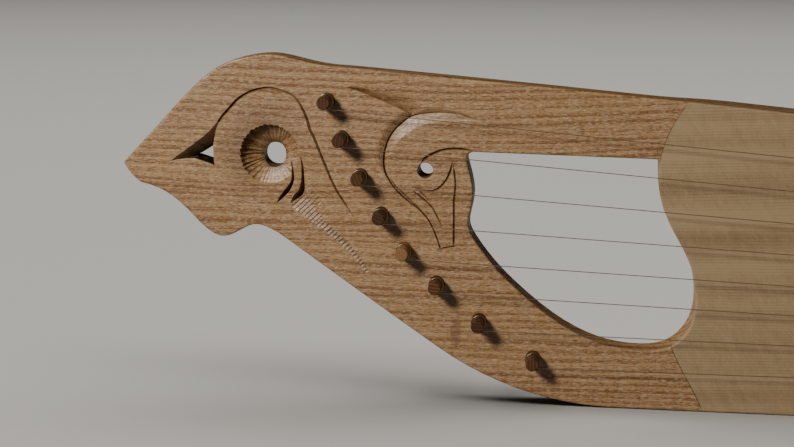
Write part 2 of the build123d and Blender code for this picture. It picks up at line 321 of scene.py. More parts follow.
def crescents():
    """Two deep curved cuts behind the eye, each falling away to a steep wall on its right."""
    first = [(97.2, 123), (101.1, 126.6), (105.2, 131.4), (107.5, 136.5), (107.8, 140.3)]
    first += [(107.4, 144), (106.3, 149.2)]
    second = [(105.9, 123.3), (109, 125.5), (112.6, 128.2), (114.5, 132.2), (114.3, 138)]
    second += [(113.7, 146.1), (112.4, 151.9)]
    first_knots = [(0, 0.3, 0.1, 0.5), (0.16, 2.1, 0.3, 4.4), (0.35, 2.6, 0.3, 5.2)]
    first_knots += [(0.58, 1.6, 0.3, 4.6), (0.77, 1.1, 0.3, 3.8), (1, 0.4, 0.2, 1.6)]
    second_knots = [(0, 0.3, 0.1, 0.5), (0.16, 3.2, 0.3, 4.8), (0.35, 3.2, 0.3, 5.4)]
    second_knots += [(0.58, 1.8, 0.3, 4.8), (0.77, 1.2, 0.3, 3.9), (1, 0.4, 0.1, 0.6)]
    pair = ((first, first_knots), (second, second_knots))
    return [Cut(line, knots, powers=(0.7, 1), step=0.8, stain=1) for line, knots in pair]


def feather_ladder():
    """Chips across the neck, long at the eye and small as dots at the end, and a fainter second row."""
    foot = [(107.1, 120.9), (113.8, 116.5), (119.8, 111.8), (129.3, 105.6), (143.8, 93.4), (153.4, 81.5)]
    foot = curve(foot, 0.3)
    along = np.linspace(0, 1, len(foot))
    chips, second_row, row_gap = 26, 10, 2.2
    way = np.array((0.72, 0.69))
    small = [(0, 0.1, 0.1, 0.05), (0.4, 0.5, 0.6, 0.35), (1, 0.1, 0.1, 0.05)]
    cuts = []
    for index in range(chips):
        share = index / (chips - 1)
        start = np.array([np.interp(share, along, axis) for axis in foot.T])
        length = np.interp(share, [0, 0.12, 0.32, 0.46, 1], [11, 9.6, 5.2, 3.4, 1.7])
        size = np.interp(share, [0, 0.4, 0.6, 1], [1, 0.95, 0.8, 0.62])
        full = (0.55 * size, 1.9 * size, 0.64)
        end = (0.45 * size, 1.6 * size, 0.5)
        knots = [(0, *end), (0.04, *full), (0.92, *full), (1, *end)]
        # painted shade in the chips: light at the eye, strong where they shrink to dots
        dark = np.interp(share, [0, 0.35, 0.5], [0.1, 0.15, 0.75])
        cuts.append(Cut([start, start + way * length], knots, step=0.8, stain=dark))
        if index < second_row:
            start = start + way * (length + row_gap)
            cuts.append(Cut([start, start + way * (0.2 * length + 1.6)], small, step=0.7, stain=0.5))
    return cuts


second_outline = [(223.5, 177.6), (218.5, 178.9), (208.3, 181.3), (198.1, 181.9), (187.5, 180.8)]
second_outline += [(180.7, 179.2), (175.5, 175.5), (170.1, 170.2), (166.1, 163.2), (164.1, 154.5)]
second_outline += [(164.6, 146.1), (167.8, 139.2), (172.8, 132.8), (178.8, 127.4), (186.1, 122)]
second_outline += [(191.7, 116.2), (195.6, 109.3), (198.2, 102.9), (200.1, 97.4)]


def second_head():
    """The second head stands out: a bevel inside its outline and a scooped hollow outside it."""
    knots = [(0, 0.2, 0.2, 0.1), (0.09, 4, 1.8, 1.4), (0.18, 5.8, 2.8, 2.1), (0.28, 7.2, 4, 2.7)]
    knots += [(0.36, 7.2, 5.4, 2.9), (0.44, 5.4, 5.2, 2.7), (0.52, 3.2, 4.2, 2)]
    knots += [(0.58, 0.8, 1.6, 0.8), (0.64, 0.2, 0.2, 0.1), (1, 0.1, 0.1, 0)]
    return [Cut(second_outline, knots, powers=(1, 1.3), stain=0.15)]


def swoop():
    """The hollow that runs down to the crown of the second head, steep above a long clean edge."""
    points = [(140.6, 196.5), (147.9, 194.3), (154.1, 192.1), (161, 189.5), (167.9, 186.8)]
    points += [(175.4, 183.6), (180.4, 180.8)]
    knots = [(0, 0.3, 0.1, 0.2), (0.16, 2.6, 0.25, 2), (0.36, 3.6, 0.3, 2.9)]
    knots += [(0.55, 6.2, 0.4, 2.9), (0.8, 9.5, 0.5, 3.2), (1, 9, 0.5, 3.4)]
    return [Cut(points, knots, powers=(1.3, 1), stain=0.32)]


def second_lines():
    """The fine lines inside the second head: beak, brow, cheek and feathers."""
    beak_side = [(208.3, 99.3), (208.2, 114.5), (208, 127), (208.7, 137.7), (207.7, 146.3), (207.2, 150.4)]
    cheek_arc = [(206.9, 153.4), (205.7, 147.3), (202.7, 140.2), (196.8, 134.3), (189.6, 133.8)]
    cheek_arc.append((180.4, 136.4))
    brow_arc = [(187.2, 150.2), (189.3, 153.3), (193.6, 156.1), (199.7, 158.8), (207.4, 160)]
    brow_arc += [(215.5, 159.6), (224, 158.2)]
    feather = [(182.4, 133.3), (189.7, 127.7), (194.7, 122.9), (197.9, 117.3), (201.2, 110.6)]
    feather_twin = [(183.6, 135.2), (188.5, 131.6), (192.6, 127.4)]
    outline_twin = [(167.6, 141.6), (171.6, 136), (176.8, 131.3), (181.5, 126.9), (185.7, 123.2)]
    outline_twin += [(189.9, 118.8), (193.4, 114.8)]
    crisp = [(0, 0.1, 0.1, 0), (0.26, 0.3, 0.4, 0.4), (0.36, 0.5, 0.6, 1.3)]
    crisp += [(0.55, 0.6, 0.7, 1.6), (1, 0.45, 0.6, 1.2)]
    return [
        Cut(second_outline, crisp, stain=0.9),
        Cut([(200.6, 97.6), (209.5, 99.1)], tapered(1.6, 1.5, 0.1, 0.1), step=0.7),
        Cut(beak_side, tapered(1.6, 1.6, 0.04, 0.1)),
        Cut(cheek_arc, tapered(1.8, 1.7, 0.2, 0.4), stain=0.9),
        Cut(brow_arc, tapered(2.2, 2, 0.1, 0.3), stain=0.95),
        Cut(feather, tapered(1.3, 1.2)),
        Cut(feather_twin, tapered(0.7, 0.6)),
        Cut(outline_twin, tapered(0.8, 0.7)),
    ]


def lip():
    """The lower lip, eased off along the mouth."""
    knots = [(0, 0.1, 0.2, 0.05), (0.6, 0.1, 0.3, 0.1), (0.75, 0.1, 1, 0.5)]
    knots += [(0.9, 0.1, 1.2, 0.6), (1, 0.1, 0.6, 0.3)]
    return [Cut(lower_lip, knots, powers=(1, 1.4), stain=0)]


def mouth_depth(points):
    """The open beak's depth and painted shade: a facet falls from the upper lip, lightly shaded, and the
    other sides are steep walls painted dark as shade.
    """
    deep, stain = np.zeros(len(points)), np.zeros(len(points))
    within = inside(points, np.vstack([curve(lower_lip), curve(mouth_right), curve(upper_lip)[::-1]]))
    slopes = ((upper_lip, mouth_slope), (lower_lip, mouth_wall_slope), (mouth_right, mouth_wall_slope))
    depths = np.array([nearest(points[within], curve(line))[0] * slope for line, slope in slopes])
    deep[within] = depths.min(0)
    stain[within] = np.clip(depths.min(0), 0, 1) * np.where(depths.argmin(0) == 0, mouth_facet_painted_shade, 1)
    return deep, stain


def draw_mouth(sheet):
    for line in (upper_lip, lower_lip, mouth_right):
        sheet.line(curve(line))
    for line in (lower_lip, mouth_right):
        side = curve(line)
        across = normals(side)
        for gap in lip_steps:
            sheet.line((side + across * gap)[2:-2])


def drift(angle):
    """Angles of flutes of uneven width, from angles of even ones."""
    return angle + 0.05 * np.sin(3 * angle + 1) + 0.03 * np.sin(8 * angle)


def dish_reach(angle):
    """Distance from the eye hole's centre out to the dish's circle."""
    way = np.stack([np.cos(angle), np.sin(angle)], -1)
    off = eye_hole_centre - eye_dish_centre
    b = way @ off
    return -b + np.sqrt(b * b - off @ off + eye_dish_radius**2)


def flute_strength(angle):
    """Deep flutes on the side of the beak, hardly any towards the crescents."""
    degrees = [-180, -145, -122, -102, -20, 20, 60, 100, 140]
    return np.interp(np.degrees(angle), degrees, [1, 1, 0.5, 0.08, 0.05, 0.35, 0.5, 0.9, 1])


def bowl_depth(angle):
    """How deep the dish is at the hole: less towards the crescents."""
    degrees = [-180, -142, -114, -60, -10, 60, 120]
    return np.interp(np.degrees(angle), degrees, [10.5, 7.2, 3.5, 2.8, 2.9, 9, 10.5])


def bowl_power(angle):
    """How the bowl falls from its rim: steeply on the side of the beak, evenly towards the crescents."""
    return np.interp(np.degrees(angle), [-180, -132, -108, 0, 60, 110], [0.52, 0.75, 1, 1, 0.75, 0.52])


def about_eye(points):
    """Distance and angle round the eye hole, and the share of the way from the hole to the dish's circle."""
    away = points - eye_hole_centre
    radius, angle = np.hypot(*away.T), np.arctan2(away[:, 1], away[:, 0])
    return radius, angle, (radius - eye_hole_radius) / (dish_reach(angle) - eye_hole_radius)


def dish_depth(points):
    """The eye: a bowl, steep at its rim, cut in gouge flutes with sharp ridges between them."""
    radius, angle, share = about_eye(points)
    turn = np.linspace(-3.5, 3.5, 1401)
    count = np.interp(angle, drift(turn), turn) * flutes / (2 * math.pi)
    phase = np.mod(count, 1)
    gouge = 0.5 * (1 - (2 * phase - 1) ** 2) + 0.6 * np.minimum(3 * phase, 1.5 * (1 - phase))
    chord = radius * 2 * math.pi / flutes
    uneven = 1 + flute_variety * np.sin(np.floor(count) * 2.4)
    hollow = flute_hollow * chord * gouge * uneven * flute_strength(angle)
    bowl = np.clip(1 - share, 0, 1) ** bowl_power(angle) - rim_fall * np.maximum(share - 1, 0)
    return np.maximum(bowl_depth(angle) * bowl + hollow, 0)


def dish_painted_shade(points):
    """Painted shade in the deep flutes, darkest at the rim, in place of the shade cast by the rim and the
    ridges.
    """
    _, angle, share = about_eye(points)
    dark = np.maximum(flute_strength(angle) - 0.2, 0) * (0.15 + 0.31 * np.clip(share, 0, 1))
    return np.where(dish_depth(points) > 0, dark, 0)


def along_ray(angle, share):
    """The point at this share of the way from the eye hole's edge to the dish's circle."""
    way = np.array((math.cos(angle), math.sin(angle)))
    radius = eye_hole_radius + share * (dish_reach(angle) - eye_hole_radius)
    return eye_hole_centre + way * radius


def flute_end(angle):
    """The share at which a flute comes up to the face, found by halving."""
    low, high = 1, 1.5
    for _ in range(18):
        middle = (low + high) / 2
        cut = dish_depth(along_ray(angle, middle)[None])[0] > 1e-4
        low, high = (middle, high) if cut else (low, middle)
    return low


def draw_eye(sheet):
    """Rays along the flutes and the ridges between them, and the dish's scalloped edge."""
    edge = []
    for index in range(flutes * flute_steps):
        angle = float(drift(index * 2 * math.pi / (flutes * flute_steps) - math.pi))
        end = flute_end(angle) if index % flute_steps else 1.0
        line = [along_ray(angle, share) for share in (*flute_rings, end)]
        sheet.line(line)
        edge.append(line[-1])
    sheet.line(edge, closed=True)


def round_hole_depth(points, centre, radius):
    """The narrow chamfer round a hole."""
    gap = np.hypot(*(points - centre).T) - radius
    return chamfer_depth * np.clip(1 - gap / hole_chamfer, 0, 1)


# ---- the wooden parts, from one triangulation ----
def cad_rims(node, chosen):
    """Closed lines round the chosen faces of a CAD node, anticlockwise on the face, the largest first."""
    bm = bmesh.new()
    bm.from_mesh(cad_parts[node].data)
    bmesh.ops.remove_doubles(bm, verts=bm.verts, dist=2e-6)
    bm.normal_update()
    faces = {f for f in bm.faces if chosen(f)}
    links = {}
    for edge in bm.edges:
        if sum(f in faces for f in edge.link_faces) == 1:
            a, b = edge.verts
            links.setdefault(a, []).append(b)
            links.setdefault(b, []).append(a)
    rims = []
    while links:
        rim = [next(iter(links))]
        while True:
            ahead = [v for v in links.pop(rim[-1]) if v in links]
            if not ahead:
                break
            rim.append(ahead[0])
        loop = np.array([(v.co.x / MM - beak_x, v.co.z / MM) for v in rim])
        rims.append(loop if area(loop) > 0 else loop[::-1])
    bm.free()
    return sorted(rims, key=area, reverse=True)


def peg_places():
    """The axis of each peg, on the face."""
    boxes = [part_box(f"winding_{n}") for n in range(1, 9)]
    return [((lo.x + hi.x) / 2 / MM - beak_x, (lo.z + hi.z) / 2 / MM) for lo, hi in boxes]


def carried_on(line):
    """The open line, made a little longer at both ends."""
    first, last = line[0] - line[1], line[-1] - line[-2]
    start = line[0] + first * seam_overrun / np.hypot(*first)
    return np.vstack([start, line, line[-1] + last * seam_overrun / np.hypot(*last)])


def joint_lines(board, rim):
    """The parts of the soundboard's edge where it meets the head, each carried on a little at both ends."""
    free = rim.distance(board) > touching
    start = int(np.argmin(free))
    board, free = np.roll(board, -start, 0), np.roll(free, -start)
    turns = np.flatnonzero(free[1:] != free[:-1]) + 1
    free_runs = np.split(board, turns)[1::2]
    return [carried_on(line) for line in free_runs if len(line) > 1]


def back_y(x):
    """Depth of the back: thin behind the head, swelling to the full body in two arcs."""
    half = (ramp_end - ramp_start) / 2
    rise = (body_back_y - face_y - head_depth) / 2
    bend = (half**2 + rise**2) / (2 * rise)
    first = np.clip(x - ramp_start, 0, half)
    second = np.clip(ramp_end - x, 0, half)
    low = bend - np.sqrt(bend**2 - first**2)
    high = bend - np.sqrt(bend**2 - second**2)
    return face_y + head_depth + np.where(x < ramp_start + half, low, 2 * rise - high)


def rounding(gap, radius):
    """How far a rounded edge has dropped at this distance from it."""
    inner = np.clip(radius - gap, 0, radius)
    return radius - np.sqrt(radius**2 - inner**2)


class Shell:
    """A closed mesh put together from numbered points at named levels."""

    def __init__(self, levels, stains):
        self.levels, self.seen, self.verts, self.faces = levels, {}, [], []
        self.stains, self.values = stains, []

    def at(self, level, index):
        key = (level, index)
        if key not in self.seen:
            x, y, z = (float(axis[index]) for axis in self.levels[level])
            self.seen[key] = len(self.verts)
            self.verts.append(((x + beak_x) * MM, y * MM, z * MM))
            self.values.append(float(self.stains[level][index]))
        return self.seen[key]

    def cover(self, level, triangles, back=False):
        for triangle in triangles:
            self.faces.append([self.at(level, i) for i in (triangle[::-1] if back else triangle)])

    def wall(self, upper, lower, edges):
        for a, b in edges:
            self.faces.append([self.at(upper, b), self.at(upper, a), self.at(lower, a), self.at(lower, b)])

    def build(self, name):
        mesh = bpy.data.meshes.new(name)
        mesh.from_pydata(self.verts, [], self.faces)
        # painted shade, kept on the points for the material
        mesh.attributes.new("stain", "FLOAT", "POINT").data.foreach_set("value", self.values)
        mesh.polygons.foreach_set("use_smooth", [True] * len(mesh.polygons))
        mesh.set_sharp_from_angle(angle=math.radians(33))
        obj = add_object(name, mesh)
        obj.modifiers.new("normals", "WEIGHTED_NORMAL").keep_sharp = True
        return obj


def edges_between(triangles, chosen, others, bare=False):
    """Directed edges of the chosen triangles next to one of the others or, if bare, next to nothing."""
    owner = {}
    for index, (a, b, c) in enumerate(triangles):
        owner[(a, b)] = owner[(b, c)] = owner[(c, a)] = index
    found = []
    for (a, b), index in owner.items():
        neighbour = owner.get((b, a))
        meets = bare if neighbour is None else others[neighbour]
        if chosen[index] and meets:
            found.append((a, b))
    return found


def rebate_floor(face):
    """Whether a face of the CAD body is the ledge that the soundboard lies on."""
    return face.normal.y < -0.9 and abs(face.calc_center_median().y - board_back_y * MM) < 2e-4


class Face:
    """The closed lines that the face is cut along, and all its carving."""

    def __init__(self):
        back_rims = cad_rims("body", lambda f: f.normal.y > 0.5)
        self.outline, self.window = [even(loop, 0.7, 1.6) for loop in back_rims[:2]]
        self.board, *openings = cad_rims("soundboard", lambda f: f.normal.y < -0.5)
        self.hollow = even(cad_rims("body", rebate_floor)[1], 1.5, 8)
        self.rim = Rim([self.outline, self.window])
        self.seams = joint_lines(self.board, self.rim)
        self.sounds = [even(loop, 0.5, 0.8) for loop in openings if loop[:, 0].mean() < tail_start]
        self.eye = circle(eye_hole_centre, eye_hole_radius, flutes * flute_steps)
        self.small_eye = circle(small_eye_centre, small_eye_radius, 48)
        self.mouth = even(np.array(mouth_hole), 0.1, 1)
        self.pegs = np.array(peg_places())
        peg_holes = [circle(place, peg_hole_front, 40) for place in self.pegs]
        self.through = [self.eye, self.small_eye, self.mouth, *peg_holes]
        self.round_holes = [(self.small_eye, np.array(small_eye_centre), small_eye_radius)]
        self.round_holes += [(loop, place, peg_hole_front) for loop, place in zip(peg_holes, self.pegs)]
        for loop in self.sounds:
            centre = loop.mean(0)
            self.round_holes.append((loop, centre, np.hypot(*(loop[0] - centre))))
        self.hollows = feather_ladder() + second_head() + swoop() + lip()
        # these are cut last, into the hollows too
        self.fine_lines = crescents() + brow() + cheek() + second_lines()


def scatter(sheet):
    """Uneven points over the second head and the ladder, where thin triangles would show on the slopes."""
    rng = random.Random(5)
    jitter = 0.25
    for left, right, low, high, pitch in ((136, 228, 138, 205, 1.7), (100, 162, 74, 136, 1.1)):
        for x in np.arange(left, right, pitch):
            for z in np.arange(low, high, pitch):
                shift_x = rng.uniform(-jitter, jitter) * pitch
                sheet.point((x + shift_x, z + rng.uniform(-jitter, jitter) * pitch))


def triangulated(face):
    """The face's points and triangles, with an edge along every line of it."""
    sheet = Sheet()
    for loop, inward in ((face.outline, 1), (face.window, -1)):
        sheet.line(loop, closed=True)
        for gap in edge_rings:
            sheet.ring(loop, gap, inward, face.rim)
    for line in face.seams:
        across = normals(line)
        for gap in (-seam_half_width, 0, seam_half_width):
            sheet.line(line + across * gap)
    sheet.line(face.hollow, closed=True)
    for cut in face.hollows + face.fine_lines:
        cut.draw(sheet)
    draw_mouth(sheet)
    draw_eye(sheet)
    for loop in face.through + face.sounds:
        sheet.line(loop, closed=True)
    for loop, centre, radius in face.round_holes:
        sheet.line(centre + (loop - centre) * (radius + hole_chamfer) / radius, closed=True)
    below, above = -5, 220
    for x in np.linspace(ramp_start, ramp_end, ramp_lines):
        sheet.line([(x, below), (x, above)])
    scatter(sheet)
    return sheet.triangles()


def zones(face, centres):
    """Four marks for each triangle: wood, under the soundboard, over the hollow, in the soundboard."""
    openings = [face.window, *face.through]
    wood = inside(centres, face.outline) & ~np.any([inside(centres, loop) for loop in openings], 0)
    under_board = wood & inside(centres, face.board)
    over_hollow = wood & inside(centres, face.hollow)
    sound = np.any([inside(centres, loop) for loop in face.sounds], 0)
    return wood, under_board, over_hollow, under_board & ~sound


def carved(face, points, gap):
    """Depth and painted shade at each point of the face, and the painted shade on the walls of the holes."""
    open_beak, stain = mouth_depth(points)
    stain = np.maximum(stain, dish_painted_shade(points))
    deep = np.maximum(rounding(gap, front_rounding), np.maximum(dish_depth(points), open_beak))
    for cuts, join in ((face.hollows, np.maximum), (face.fine_lines, np.add)):
        for cut in cuts:
            here = cut.depth(points)
            deep = join(deep, here)
            stain = np.maximum(stain, here / cut.deep.max() * cut.stain)
    # painted shade on the walls of the eye holes and the mouth, which fall into shade
    walls = np.zeros(len(points))
    for loop, share in ((face.eye, 0.6), (face.small_eye, 0.6), (face.mouth, 0.9)):
        walls[Rim([loop]).distance(points) < touching] = share
    for _, centre, radius in face.round_holes:
        deep = np.maximum(deep, round_hole_depth(points, centre, radius))
    for line in face.seams:
        away = nearest(points, line)[0]
        deep = np.maximum(deep, seam_depth * np.clip(1 - away / seam_half_width, 0, 1))
    return deep, np.maximum(stain, walls), walls


def depth_levels(face, points, deep, gap):
    """Each point on the face, behind the soundboard, on the hollow's floor and on the back."""
    back_points = points.copy()
    for place in face.pegs:
        on = np.abs(np.hypot(*(points - place).T) - peg_hole_front) < on_line
        back_points[on] = place + (points[on] - place) * peg_hole_back / peg_hole_front
    x, z = points.T
    back_x, back_z = back_points.T
    back = back_y(x)
    return {
        "face": (x, face_y + deep, z),
        "mid": (x, np.full(len(x), board_back_y), z),
        "floor": (x, back - back_wall, z),
        "back": (back_x, back - rounding(gap, back_rounding), back_z),
    }


def body_shell(levels, stains, triangles, wood, under_board, over_hollow, gap):
    """The carved body, with the ledge and the hollow under the soundboard."""
    head, ledge = wood & ~under_board, under_board & ~over_hollow
    shell = Shell(levels, stains)
    shell.cover("face", triangles[head])
    shell.cover("mid", triangles[ledge])
    shell.cover("floor", triangles[over_hollow])
    shell.cover("back", triangles[wood], back=True)
    shell.wall("face", "mid", edges_between(triangles, head, under_board))
    shell.wall("mid", "floor", edges_between(triangles, ledge, over_hollow))
    edges = edges_between(triangles, wood, ~wood, bare=True)
    outer = [edge for edge in edges if gap[list(edge)].max() < on_line]
    head_edges = set(edges_between(triangles, head, ~wood, bare=True))
    shell.wall("face", "mid", [edge for edge in outer if edge in head_edges])
    shell.wall("mid", "back", outer)
    shell.wall("face", "back", [edge for edge in edges if gap[list(edge)].max() >= on_line])
    return shell


def board_shell(levels, stains, triangles, board):
    """The soundboard."""
    shell = Shell(levels, stains)
    shell.cover("face", triangles[board])
    shell.cover("mid", triangles[board], back=True)
    shell.wall("face", "mid", edges_between(triangles, board, ~board, bare=True))
    return shell


def wooden_parts():
    """The carved body and the soundboard, as two closed meshes that meet at the joint."""
    face = Face()
    points, triangles = triangulated(face)
    wood, under_board, over_hollow, board = zones(face, points[triangles].mean(1))
    gap = face.rim.distance(points)
    deep, stain, walls = carved(face, points, gap)
    levels = depth_levels(face, points, deep, gap)
    clean = np.zeros(len(points))
    stains = {"face": stain, "mid": walls, "floor": clean, "back": walls}
    body = body_shell(levels, stains, triangles, wood, under_board, over_hollow, gap)
    plate = board_shell(levels, {"face": clean, "mid": clean}, triangles, board)
    return body.build("carved_body"), plate.build("top_board")


# ---- materials ----
class Tree:
    """A material's nodes, with lengths in millimetres on the object."""

    def __init__(self, name):
        self.material = bpy.data.materials.new(name)
        self.material.use_nodes = True
        self.nodes = self.material.node_tree.nodes
        self.links = self.material.node_tree.links
        self.place = self.nodes.new("ShaderNodeTexCoord").outputs["Object"]

    def feed(self, node, values):
        """Set or link a node's inputs, given by name or number."""
        for key, value in values.items():
            if isinstance(value, bpy.types.NodeSocket):
                self.links.new(value, node.inputs[key])
            else:
                node.inputs[key].default_value = value

    def surface(self, values):
        """Set or link the shader's own sockets."""
        self.feed(self.nodes["Principled BSDF"], values)

    def node(self, kind, inputs, **settings):
        """A new node with these inputs and settings."""
        node = self.nodes.new(f"ShaderNode{kind}")
        for name, value in settings.items():
            setattr(node, name, value)
        self.feed(node, inputs)
        return node

    def math(self, operation, *values):
        return self.node("Math", dict(enumerate(values)), operation=operation).outputs[0]

    def times(self, first, second):
        return self.math("MULTIPLY", first, second)

    def total(self, *values):
        result = values[0]
        for value in values[1:]:
            result = self.math("ADD", result, value)
        return result

    def turned(self, centre=(0, 0, 0), degrees=(0, 0, 0)):
        """From here on the grain is looked up about this centre, turned."""
        shift = self.node("VectorMath", {0: self.place, 1: centre}, operation="SUBTRACT")
        angles = [math.radians(d) for d in degrees]
        inputs = {"Vector": shift.outputs[0], "Rotation": angles}
        self.place = self.node("VectorRotate", inputs, rotation_type="EULER_XYZ").outputs[0]

    def axis(self, index):
        """One coordinate in millimetres."""
        return self.times(self.node("SeparateXYZ", {0: self.place}).outputs[index], 1000)

    def noise(self, sizes, seed=0, detail=2, swing=1):
        """Noise with blots of these sizes along x, y and z, from -swing to swing."""
        scale = [1000.0 / size for size in sizes]
        shift = (seed, 1.7 * seed, -2.3 * seed)
        place = self.node("VectorMath", {0: self.place, 1: scale, 2: shift}, operation="MULTIPLY_ADD")
        blots = self.node("TexNoise", {"Vector": place.outputs[0], "Scale": 1, "Detail": detail})
        return self.math("MULTIPLY_ADD", blots.outputs[0], 2.0 * swing, -swing)

    def streaks(self, value, size, seed=0, swing=1):
        """Noise along one value only, so that it is even along the grain."""
        place = self.math("MULTIPLY_ADD", value, 1.0 / size, seed)
        blots = self.node("TexNoise", {"Scale": 1, "Detail": 1}, noise_dimensions="1D")
        self.feed(blots, {"W": place})
        return self.math("MULTIPLY_ADD", blots.outputs[0], 2.0 * swing, -swing)

    def rings(self, across, period, strength, uneven, stops):
        """Lines a period apart across the grain, of changing strength."""
        ring = self.math("FRACT", self.times(across, 1 / period))
        share = self.math("MULTIPLY_ADD", self.streaks(across, uneven, period), 1.05 * strength, strength)
        return self.times(self.ramp(ring, stops), self.math("MAXIMUM", share, 0))

    def stain(self):
        """The painted shade kept on the mesh's points."""
        return self.node("Attribute", {}, attribute_name="stain").outputs["Fac"]

    def facing_front(self):
        """1 on the face and its carving, 0 on the edges and walls."""
        normal = self.node("NewGeometry", {}).outputs["True Normal"]
        forward = self.times(self.node("SeparateXYZ", {0: normal}).outputs[1], -1)
        return self.ramp(forward, [(0.3, 0), (0.6, 1)])

    def ramp(self, value, stops=((0, 0), (1, 1))):
        """Grey levels along a value."""
        node = self.node("ValToRGB", {0: value})
        elements = node.color_ramp.elements
        while len(elements) < len(stops):
            elements.new(0.5)
        for element, (position, level) in zip(elements, stops):
            element.position = position
            element.color = (level, level, level, 1)
        return node.outputs[0]

    def mix(self, share, first, second):
        return self.node("Mix", {0: share, 6: first, 7: second}, data_type="RGBA").outputs[2]

    def bump(self, height, distance):
        node = self.node("Bump", {"Strength": 1, "Distance": distance * MM, "Height": height})
        self.surface({"Normal": node.outputs[0]})


def srgb(r, g, b):
    """A colour given in sRGB, 0 to 255, as Blender's linear one."""
    return (*[((c / 255 + 0.055) / 1.055) ** 2.4 for c in (r, g, b)], 1)


def ash():
    """Ring-porous wood: golden early wood fading into pale late wood, short pores, a satin varnish, painted
    highlights in pale flecks and painted shade in the carving.
    """
    t = Tree("ash")
    streak = mineral_streak(t)
    t.turned(degrees=(0, 1.5, 0))
    dark, pores, fibre = ash_grain(t)
    flecks = t.ramp(t.noise((2.6, 0.9, 0.8), seed=12), [(0.05, 0), (0.5, 1)])
    warm, cool, late_wood = srgb(180, 143, 95), srgb(179, 142, 101), srgb(119, 72, 18)
    # a painted highlight colour for the flecks, and a painted shade colour for the deep carving
    painted_glint, mineral, painted_shade_colour = srgb(217, 189, 158), srgb(96, 52, 18), srgb(30, 15, 7)
    pale = t.mix(t.total(t.noise((160, 60, 30), seed=6, detail=1), 0.5), warm, cool)
    grained = t.mix(t.times(dark, 0.8), pale, late_wood)
    # painted highlight: pale flecks mixed into the base colour, in place of sheen off the fibres
    streaked = t.mix(streak, t.mix(t.times(flecks, 0.5), grained, painted_glint), mineral)
    stain = t.stain()
    # the varnish is left off the walls and thinned where painted shade lies
    clean = t.times(t.facing_front(), t.math("SUBTRACT", 1, stain))
    varnish = t.times(clean, t.math("MULTIPLY_ADD", flecks, 0.6, 0.4))
    # painted shade: the base colour goes towards a dark brown where the mesh holds painted shade
    t.surface({"Base Color": t.mix(stain, streaked, painted_shade_colour), "Coat Weight": varnish})
    t.surface({"Specular IOR Level": 0.4, "Coat Roughness": 0.42, "Coat IOR": 1.75, "Roughness": 0.5})
    t.bump(t.total(t.times(pores, -1), t.times(fibre, 1.2)), 0.13)
    return t.material


def ash_grain(t):
    """How dark the rings, pores and fibres make the wood, and its pores and fibres on their own."""
    bend = t.total(
        t.noise((360, 120, 120), seed=3.1, detail=1, swing=17),
        t.noise((90, 40, 30), seed=1.4, detail=1, swing=2.2),
        t.noise((20, 12, 7), seed=5.2, detail=1, swing=0.6),
    )
    across = t.total(t.axis(2), t.times(t.axis(1), 0.45), bend)
    spaced = t.total(across, t.streaks(across, 30, seed=4, swing=6))
    broad = [(0, 0.6), (0.1, 1), (0.3, 0.8), (0.5, 0.35), (0.75, 0), (0.88, 0.1), (1, 0.6)]
    narrow = [(0, 0.8), (0.25, 1), (0.6, 0.1), (0.9, 0), (1, 0.5)]
    wide = t.rings(spaced, period=4.6, strength=0.8, uneven=8, stops=broad)
    thin = t.rings(spaced, period=1.7, strength=0.2, uneven=3, stops=narrow)
    pores = t.ramp(t.noise((3, 0.6, 0.55), seed=7.7), [(0, 0), (0.35, 1)])
    fibre = t.noise((24, 0.8, 0.7), seed=2.2, swing=0.55)
    shimmer = t.noise((1.8, 5, 7), seed=9, swing=0.4)
    grit = t.noise((1.3, 0.6, 0.5), seed=15, detail=1, swing=0.45)
    bands = t.streaks(across, 20, seed=1, swing=0.35)
    return t.total(wide, thin, fibre, shimmer, grit, t.times(pores, 0.8), bands, -0.06), pores, fibre


def mineral_streak(t):
    """A faint upright brown patch across the grain, low on the neck."""
    low, high = np.array(streak_ends)
    centre, half = (low + high) / 2, (streak_half_width, (high[1] - low[1]) / 2)
    away_x = t.math("MULTIPLY_ADD", t.axis(0), 1 / half[0], -(centre[0] + beak_x) / half[0])
    away_z = t.math("MULTIPLY_ADD", t.axis(2), 1 / half[1], -centre[1] / half[1])
    square = t.total(t.times(away_x, away_x), t.times(away_z, away_z))
    ragged = t.total(t.math("SUBTRACT", 1, square), t.noise((2, 3, 6), seed=4.4, swing=0.5))
    return t.times(t.ramp(ragged, [(0, 0), (0.8, 1)]), 0.55)


def spruce(name="spruce", tint=(178, 151, 115)):
    """Even, narrow dark lines on pale wood, with a faint silk across them."""
    t = Tree(name)
    t.turned(degrees=(0, 2.6, 0))
    long_bend = t.noise((500, 100, 120), seed=2, detail=1, swing=9)
    bend = t.total(long_bend, t.noise((60, 30, 14), seed=5, detail=1, swing=0.5))
    across = t.total(t.axis(2), bend, t.times(t.axis(1), 0.1))
    narrow = [(0, 0), (0.5, 0.15), (0.82, 1), (0.94, 0.7), (1, 0)]
    line = t.rings(across, period=1.9, strength=0.24, uneven=7, stops=narrow)
    fibre = t.noise((45, 0.5, 0.5), seed=1, swing=0.16)
    bands = t.streaks(across, 17, seed=7, swing=0.42)
    t.turned(degrees=(0, 28, 0))
    fine_silk = t.noise((0.8, 3, 3.2), seed=8, swing=0.3)
    silk = t.total(fine_silk, t.noise((5, 8, 16), seed=3, detail=1, swing=0.2))
    dark = t.total(line, silk, fibre, bands, 0.12)
    t.surface({"Base Color": t.mix(dark, srgb(*tint), srgb(112, 82, 48)), "Roughness": 0.5})
    t.bump(t.total(t.times(line, 0.4), fibre), 0.08)
    return t.material


